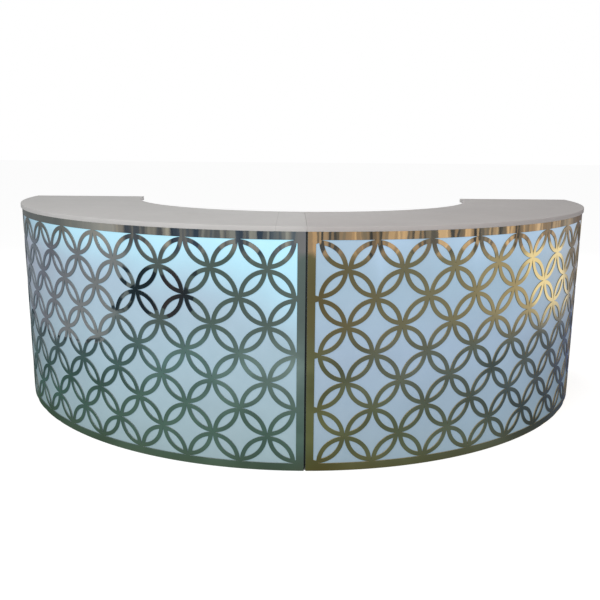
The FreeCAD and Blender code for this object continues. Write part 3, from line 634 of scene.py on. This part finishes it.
def eased_solid(node, ease):
    """A copy of a CAD node's solid with every sharp edge rounded off a little."""
    shape = solid_faces(node)
    sharp = [edge for edge in shape.edges if edge.calc_face_angle(0.0) > SHARP_ANGLE]
    bmesh.ops.bevel(shape, geom=sharp, offset=ease, segments=2, profile=0.5, affect="EDGES",
                    clamp_overlap=True)
    shape.normal_update()
    return shape


def eased_piece(node, body, slot, ease):
    """A piece in one finish that stands for a CAD node, with eased edges."""
    eased = mesh_object(node + "_eased", eased_solid(node, ease), finish_of(node, slot))
    piece(eased, body, slot, node)


def eased_board(node, body):
    """A board with eased edges, and an edge band where it faces the bartender."""
    shape = eased_solid(node, BOARD_EASE)
    for face in shape.faces:
        inward = RING_CENTRE - face.calc_center_median()
        inward.z = 0
        face.material_index = int(face.normal.dot(inward.normalized()) > FACING)
    board = mesh_object(node + "_board", shape, FINISHES["carcass_board"], EDGE_BAND)
    piece(board, body, "carcass_board", node)


def power_inlet(label):
    """The mains inlet with eased edges and bright contact blades in its socket."""
    node = label + "_power_inlet"
    low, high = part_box(node)
    shape = eased_solid(node, SMALL_EASE)
    for face in shape.faces:
        off = face.calc_center_median() - (low + high) / 2
        depth = face.calc_center_median().y - low.y
        beside = abs(off.x) < BLADE_REACH[0] and abs(off.z) < BLADE_REACH[1]
        inside = INLET_RECESS - BLADE_LENGTH - SMALL_EASE < depth < INLET_RECESS - SMALL_EASE
        face.material_index = int(beside and inside)
    inlet = mesh_object(label + "_inlet", shape, FINISHES["inlet_plastic"], CONTACT)
    piece(inlet, label + "_module", "inlet_plastic", node)


def printed_mark(shape, face, straight):
    """A printed bar where straight is true, or else a ring, in the middle of a rocker's face."""
    across = Vector((1, 0, 0))
    up = face.normal.cross(across)
    middle = face.calc_center_median() + face.normal * MARK_RISE
    rims = []
    for radius in (MARK_RADIUS, MARK_RADIUS - MARK_STROKE):
        width = MARK_STROKE / 2 * radius / MARK_RADIUS if straight else radius
        rim = []
        for step in range(MARK_STEPS):
            turn = math.tau * step / MARK_STEPS
            place = middle + across * width * math.cos(turn) + up * radius * math.sin(turn)
            rim.append(shape.verts.new(place))
        rims.append(rim)
    outer, inner = rims
    for index in range(MARK_STEPS):
        after = (index + 1) % MARK_STEPS
        shape.faces.new((outer[index], outer[after], inner[after], inner[index]))
    if straight:
        shape.faces.new(inner)


def rocker_marks(label):
    """The marks of the switch: a bar on the lower half, on, and a ring on the upper half, off."""
    rocker = solid_faces(label + "_switch_rocker")
    faces = [face for face in rocker.faces if face.normal.y < -FACING]
    faces.sort(key=lambda face: face.calc_center_median().z)
    shape = bmesh.new()
    for face, straight in zip(faces, (True, False)):
        printed_mark(shape, face, straight)
    rocker.free()
    marks = mesh_object(label + "_rocker_marks", shape, PRINT)
    piece(marks, label + "_rocker", "rocker_plastic")


def recess_outline():
    """The outline of a cross recess, as shares of the screw head's radius."""
    arm, half = RECESS_ARM, RECESS_HALF
    middle = (arm + half) / 2
    quarter = ((arm, -half), (arm, 0.0), (arm, half), (middle, half), (half, half), (half, middle))
    outline = []
    for turn in range(4):
        cosine, sine = round(math.cos(turn * math.pi / 2)), round(math.sin(turn * math.pi / 2))
        outline += [(u * cosine - v * sine, u * sine + v * cosine) for u, v in quarter]
    return outline


def pan_head(shape, place, normal):
    """A pan-head screw with a cross recess."""
    stand = Matrix.Translation(place) @ normal.to_track_quat("Z", "Y").to_matrix().to_4x4()
    cross = recess_outline()
    count = len(cross)
    start = math.atan2(-RECESS_HALF, RECESS_ARM)
    turns = [start + math.tau * step / count for step in range(count)]
    rim = [(math.cos(turn), math.sin(turn)) for turn in turns]
    loops = []
    for outline, profile in ((rim, HEAD_PROFILE), (cross, RECESS_PROFILE)):
        for share, rise in profile:
            loops.append([shape.verts.new(stand @ (Vector((u * share, v * share, rise)) * SCREW_RADIUS))
                          for u, v in outline])
    for low, high in zip(loops, loops[1:]):
        for index in range(count):
            after = (index + 1) % count
            shape.faces.new((low[index], low[after], high[after], high[index]))
    shape.faces.new(loops[-1])
    shape.faces.new(loops[0][::-1])


def bracket_screws(label):
    """Two screws in each leg of the angle brackets."""
    shape = bmesh.new()
    brackets = solid_faces(label + "_top_brackets")
    for face in brackets.faces:
        if abs(face.calc_area() / (BRACKET_LEG * BRACKET_WIDTH) - 1) < LEG_TOLERANCE:
            longest = max(face.edges, key=lambda edge: edge.calc_length())
            along = (longest.verts[1].co - longest.verts[0].co).normalized()
            for way in (-1, 1):
                pan_head(shape, face.calc_center_median() + along * way * BRACKET_LEG / 4, face.normal)
    brackets.free()
    screws = mesh_object(label + "_bracket_screws", shape, FINISHES["zinc_steel"])
    piece(screws, label + "_module", "zinc_steel")


def lid_screws(label):
    """A screw in each corner of the driver's lid."""
    low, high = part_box(label + "_driver_lid")
    shape = bmesh.new()
    for x in (low.x + SCREW_INSET, high.x - SCREW_INSET):
        for z in (low.z + SCREW_INSET, high.z - SCREW_INSET):
            pan_head(shape, Vector((x, low.y, z)), Vector((0, -1, 0)))
    screws = mesh_object(label + "_lid_screws", shape, FINISHES["zinc_steel"])
    piece(screws, label + "_module", "zinc_steel")


BOARDS = ("top_rail", "base_board", "joint_end_panel", "outer_end_panel", "centre_partition",
          "joint_bay_shelf", "outer_bay_shelf")
HARDWARE = (("driver_case", "module", "case_paint"), ("driver_lid", "module", "case_paint"),
            ("switch_bezel", "module", "switch_plastic"), ("switch_rocker", "rocker", "rocker_plastic"),
            ("top_brackets", "module", "zinc_steel"), ("glides", "module", "glide_plastic"))
for label, side in SIDES:
    module = label + "_module"
    lattice_panel(label, side)
    eased_piece(label + "_counter_top", module, "top_laminate", BOARD_EASE)
    for board in BOARDS:
        eased_board("%s_%s" % (label, board), module)
    for node, body, slot in HARDWARE:
        eased_piece("%s_%s" % (label, node), "%s_%s" % (label, body), slot, SMALL_EASE)
    power_inlet(label)
    rocker_marks(label)
    bracket_screws(label)
    lid_screws(label)


# The studio: half the floor's width, its tones as a light and to the eye, its glow, and the sky's likewise
FLOOR_HALF = 60
FLOOR_LIT, FLOOR_SEEN = (0.75, 0.75, 0.75), (0.35, 0.35, 0.35)
FLOOR_GLOW = 0.83
SKY_LIGHT, SKY_SEEN = 0.40, 1.0


def make_floor():
    """A pale floor that shows white and keeps a soft shadow."""
    shader = Shader("pale_floor")
    seen = shader.seen()
    shader.set(Base_Color=shader.mix(seen, FLOOR_LIT, FLOOR_SEEN), Roughness=1.0, Specular_IOR_Level=0.0,
               Emission_Color=WHITE, Emission_Strength=shader.work("MULTIPLY", seen, FLOOR_GLOW))
    shape = bmesh.new()
    bmesh.ops.create_grid(shape, x_segments=1, y_segments=1, size=FLOOR_HALF)
    mesh_object("floor", shape, shader.material)


def make_world():
    """A white studio: white to the eye, softer as a source of light."""
    world = bpy.data.worlds.new("studio")
    scene.world = world
    world.use_nodes = True
    sky = Nodes(world.node_tree)
    background = sky.nodes["Background"]
    sky.feed(WHITE, background.inputs["Color"])
    sky.feed(sky.spread(sky.seen(), SKY_LIGHT, SKY_SEEN), background.inputs["Strength"])


# The room that the polished metal mirrors, round the ring's axis: where its floor begins and ends, its
# wall's height, its lift off the studio's floor, the degrees that it goes to each side, and its steps
ROOM_NEAR, ROOM_FAR, ROOM_HEIGHT, ROOM_LIFT = 1.697, 7.0, 3.0, 0.002
ROOM_REACH = 168
ROOM_STEPS = 48
# Its tones by degrees from straight ahead: at the counter's foot, on the floor, far off and on the wall
FOOT_TONES = (
    (-90, (0.08, 0.13, 0.13)), (-65, (0.06, 0.12, 0.10)), (-35, (0.11, 0.19, 0.15)),
    (-2, (0.12, 0.20, 0.16)), (2, (0.12, 0.16, 0.14)), (20, (0.11, 0.17, 0.21)),
    (50, (0.06, 0.10, 0.20)), (90, (0.09, 0.12, 0.24)))
FLOOR_TONES = (
    (-90, (0.12, 0.15, 0.17)), (-60, (0.08, 0.14, 0.14)), (-27, (0.14, 0.24, 0.22)),
    (-2, (0.24, 0.32, 0.29)), (2, (0.11, 0.15, 0.15)), (25, (0.13, 0.19, 0.31)),
    (55, (0.09, 0.15, 0.28)), (90, (0.12, 0.17, 0.32)))
FAR_TONES = (
    (-180, (0.12, 0.11, 0.14)), (-120, (0.22, 0.25, 0.29)), (-104, (0.19, 0.20, 0.24)),
    (-66, (0.32, 0.33, 0.33)), (-60, (0.28, 0.31, 0.31)), (-55, (0.14, 0.17, 0.16)),
    (-26, (0.12, 0.17, 0.15)), (-2, (0.17, 0.22, 0.20)), (4, (0.14, 0.15, 0.15)),
    (34, (0.19, 0.23, 0.28)), (50, (0.25, 0.29, 0.34)), (80, (0.50, 0.50, 0.50)),
    (85, (1.0, 1.0, 0.95)), (107, (1.0, 1.0, 0.95)), (114, (0.26, 0.26, 0.30)), (180, (0.10, 0.09, 0.11)))
WALL_TONES = (
    (-124, (0.17, 0.18, 0.18)), (-95, (0.19, 0.20, 0.19)), (-66, (0.46, 0.44, 0.40)),
    (-60, (0.20, 0.22, 0.23)), (-2, (0.26, 0.30, 0.33)), (2, (0.32, 0.33, 0.45)),
    (40, (0.40, 0.42, 0.58)), (80, (0.38, 0.40, 0.56)), (100, (0.24, 0.26, 0.38)),
    (112, (0.42, 0.42, 0.50)), (125, (0.16, 0.15, 0.17)))
# Where the foot passes into the floor, where the floor passes into the distance, and the shade at the foot
FOOT_TO_FLOOR = (2.2, 3.1)
FLOOR_TO_FAR = (3.0, 4.6)
SHADE_REACH = (1.70, 1.90)
SHADE_TONE = (0.88, 0.77, 0.64)
# The wall's posts: what one does to the wall's tone, by chance; how strongly, by degrees; how many wide and
# fine ones go round; and the heights between which they begin
POST_TONES = (
    (0.0, (0.09, 0.12, 0.18)), (0.22, (0.30, 0.36, 0.46)), (0.45, (0.80, 0.78, 0.76)),
    (0.70, (1.40, 1.10, 0.84)), (1.0, (2.6, 2.15, 1.65)))
POST_STRENGTH = ((-180, 0.0), (-66, 0.1), (-60, 1.0), (104, 1.0), (112, 0.3))
WIDE_POSTS, FINE_POSTS = 100, 420
POST_FOOT = (0.12, 0.26)
# Dark things before the wall: their tones by degrees, the bearing and distance where they stand, how many
# cells go round and out, and the share of the cells that stay empty
DARK_TONES = ((-64, (0.03, 0.05, 0.06)), (-48, (0.02, 0.03, 0.04)), (-42, (0.06, 0.05, 0.05)),
              (-36, (0.03, 0.04, 0.05)))
DARK_BEARING, DARK_BEARING_REACH = -48, 14
DARK_DISTANCE, DARK_DISTANCE_REACH = 5.6, 1.2
DARK_CELLS = (80, 10)
DARK_EMPTY = 0.18
# The side wall on the left: its foot's place across and blur, the bearing where it ends, the gap under it
SIDE_WALL, SIDE_BLUR, SIDE_END = -2.85, 0.03, -60
SIDE_GAP = 0.14
SIDE_GAP_TONE = (0.03, 0.05, 0.055)
SIDE_GAP_STRENGTH, SIDE_GAP_REACH = 0.9, (0.42, 0.50)


def by_bearing(stops):
    """Stops in degrees from straight ahead, as places from 0 to 1 round the whole turn."""
    return [((degrees + 180) / 360, tone) for degrees, tone in stops]


def room_floor(shader, turn, distance):
    """The near floor: clouded, with other tones and a shade at the counter's foot."""
    foot, floor = (shader.ramp(turn, *by_bearing(stops)) for stops in (FOOT_TONES, FLOOR_TONES))
    tone = shader.mix(shader.spread(distance, 0, 1, *FOOT_TO_FLOOR), foot, floor)
    cloud = shader.wander(shader.noise(scale=1.4, detail=4), 0.8, 1.25, NARROW)
    shade = shader.ramp(shader.spread(distance, 0, 1, *SHADE_REACH), (0.0, SHADE_TONE), (1.0, WHITE))
    return shader.mix(1.0, shader.mix(1.0, tone, cloud, "MULTIPLY"), shade, "MULTIPLY")


def post_wall(shader, turn):
    """The upright wall with its posts, wide and fine ones mixed."""
    wide, fine = (shader.ramp(shader.chance(turn, "1D", count), *POST_TONES)
                  for count in (WIDE_POSTS, FINE_POSTS))
    wall, strength = (shader.ramp(turn, *by_bearing(stops)) for stops in (WALL_TONES, POST_STRENGTH))
    return shader.mix(strength, wall, shader.mix(0.5, wide, fine), "MULTIPLY")


def dark_things(shader, turn, degrees, distance):
    """1 where something dark stands before the wall, otherwise 0."""
    spot = shader.add("ShaderNodeCombineXYZ")
    shader.feed(shader.spread(turn, 0, DARK_CELLS[0]), spot.inputs["X"])
    shader.feed(shader.spread(distance, 0, DARK_CELLS[1], 0, ROOM_FAR), spot.inputs["Y"])
    there = shader.work("GREATER_THAN", shader.chance(spot.outputs["Vector"], "2D", 1.0), DARK_EMPTY)
    there = shader.work("MULTIPLY", there, shader.window(degrees, DARK_BEARING, DARK_BEARING_REACH))
    return shader.work("MULTIPLY", there, shader.window(distance, DARK_DISTANCE, DARK_DISTANCE_REACH))


def side_wall(shader, degrees):
    """Where the side wall is, and how dark the broken gap under it is."""
    across = shader.axis("X")
    sideways = shader.work("LESS_THAN", degrees, SIDE_END)
    wall = shader.work("MULTIPLY", shader.spread(across, 1, 0, SIDE_WALL - SIDE_BLUR, SIDE_WALL), sideways)
    gap = shader.work("MULTIPLY", shader.window(across, SIDE_WALL - SIDE_GAP / 2, SIDE_GAP / 2), sideways)
    broken = shader.wander(shader.noise(scale=5.0, detail=2), 0, SIDE_GAP_STRENGTH, SIDE_GAP_REACH)
    return wall, shader.work("MULTIPLY", gap, broken)


def room_finish():
    """The room's glow: a green-grey floor, and far off a wall with posts, dark things and a side wall."""
    shader = Shader("room_flags")
    turn = shader.spread(shader.bearing(), 0, 1, -math.pi, math.pi)
    degrees = shader.spread(turn, -180, 180)
    distance = shader.radius()
    far, dark = (shader.ramp(turn, *by_bearing(stops)) for stops in (FAR_TONES, DARK_TONES))
    far = shader.mix(shader.spread(shader.axis("Z"), 0, 1, *POST_FOOT), far, post_wall(shader, turn))
    far = shader.mix(dark_things(shader, turn, degrees, distance), far, dark)
    side, gap = side_wall(shader, degrees)
    far = shader.mix(gap, far, SIDE_GAP_TONE)
    beyond = shader.work("MAXIMUM", side, shader.spread(distance, 0, 1, *FLOOR_TO_FAR, "SMOOTHSTEP"))
    glow = shader.mix(beyond, room_floor(shader, turn, distance), far)
    shader.set(Base_Color=(0, 0, 0), Specular_IOR_Level=0.0, Emission_Color=glow, Emission_Strength=1.0)
    return shader.material


def make_room():
    """Studio flags round the front, low and upright, that only mirrors see."""
    shape = bmesh.new()
    rows = []
    for step in range(ROOM_STEPS + 1):
        angle = math.radians(-ROOM_REACH + 2 * ROOM_REACH * step / ROOM_STEPS)
        way = Vector((math.sin(angle), -math.cos(angle), 0))
        lift = Vector((0, 0, ROOM_LIFT))
        near, far = (RING_CENTRE + lift + way * reach for reach in (ROOM_NEAR, ROOM_FAR))
        rows.append([shape.verts.new(place) for place in (near, far, far + Vector((0, 0, ROOM_HEIGHT)))])
    for first, last in zip(rows, rows[1:]):
        for index in range(2):
            shape.faces.new((first[index], last[index], last[index + 1], first[index + 1]))
    flags = mesh_object("room_flags", shape, room_finish())
    flags.visible_camera = False
    flags.visible_diffuse = False
    flags.visible_transmission = False
    flags.visible_shadow = False


LAMP_SIZE = 3.0


def make_lamp(name, place, target, power, colour=WHITE, mirrored=True):
    """A soft box that faces a point; polished faces show it unless mirrored says not."""
    lamp = bpy.data.lights.new(name, "AREA")
    lamp.shape = "DISK"
    lamp.size = LAMP_SIZE
    lamp.energy = power
    lamp.color = colour
    item = link(bpy.data.objects.new(name, lamp))
    item.visible_glossy = mirrored
    item.location = place
    item.rotation_mode = "QUATERNION"
    item.rotation_quaternion = (Vector(target) - Vector(place)).to_track_quat("-Z", "Y")


# The photograph's camera, from the ring's centre on the floor: turns in radians, lens and sensor in mm
CAMERA_OFFSET = Vector((-0.0581, -4.6708, 1.4263))
CAMERA_YAW = 0.01061
CAMERA_PITCH = 0.21167
CAMERA_ROLL = -0.00872
CAMERA_LENS = 43.05
CAMERA_SENSOR = 36


def make_camera():
    """The photograph's camera."""
    yaw, pitch, roll = CAMERA_YAW, CAMERA_PITCH, CAMERA_ROLL
    ahead = Vector((math.sin(yaw) * math.cos(pitch), math.cos(yaw) * math.cos(pitch), -math.sin(pitch)))
    level = Vector((math.cos(yaw), -math.sin(yaw), 0))
    down = ahead.cross(level)
    right = level * math.cos(roll) + down * math.sin(roll)
    up = level * math.sin(roll) - down * math.cos(roll)
    optics = bpy.data.cameras.new("camera")
    optics.lens = CAMERA_LENS
    optics.sensor_width = CAMERA_SENSOR
    camera = link(bpy.data.objects.new("camera", optics))
    camera.matrix_world = Matrix((right, up, -ahead)).transposed().to_4x4()
    camera.location = RING_CENTRE + CAMERA_OFFSET
    scene.camera = camera


make_floor()
make_world()
make_room()
make_lamp("key", place=(-2.8, -5.2, 4.5), target=(-0.5, -0.2, 1.0), power=205)
make_lamp("fill", place=(3.2, -5.0, 4.0), target=(0.5, -0.2, 1.0), power=54, colour=(1.0, 0.84, 0.78))
make_lamp("back", place=(0.0, 5.8, 2.0), target=(0.0, 0.3, 0.6), power=150, mirrored=False)
make_camera()
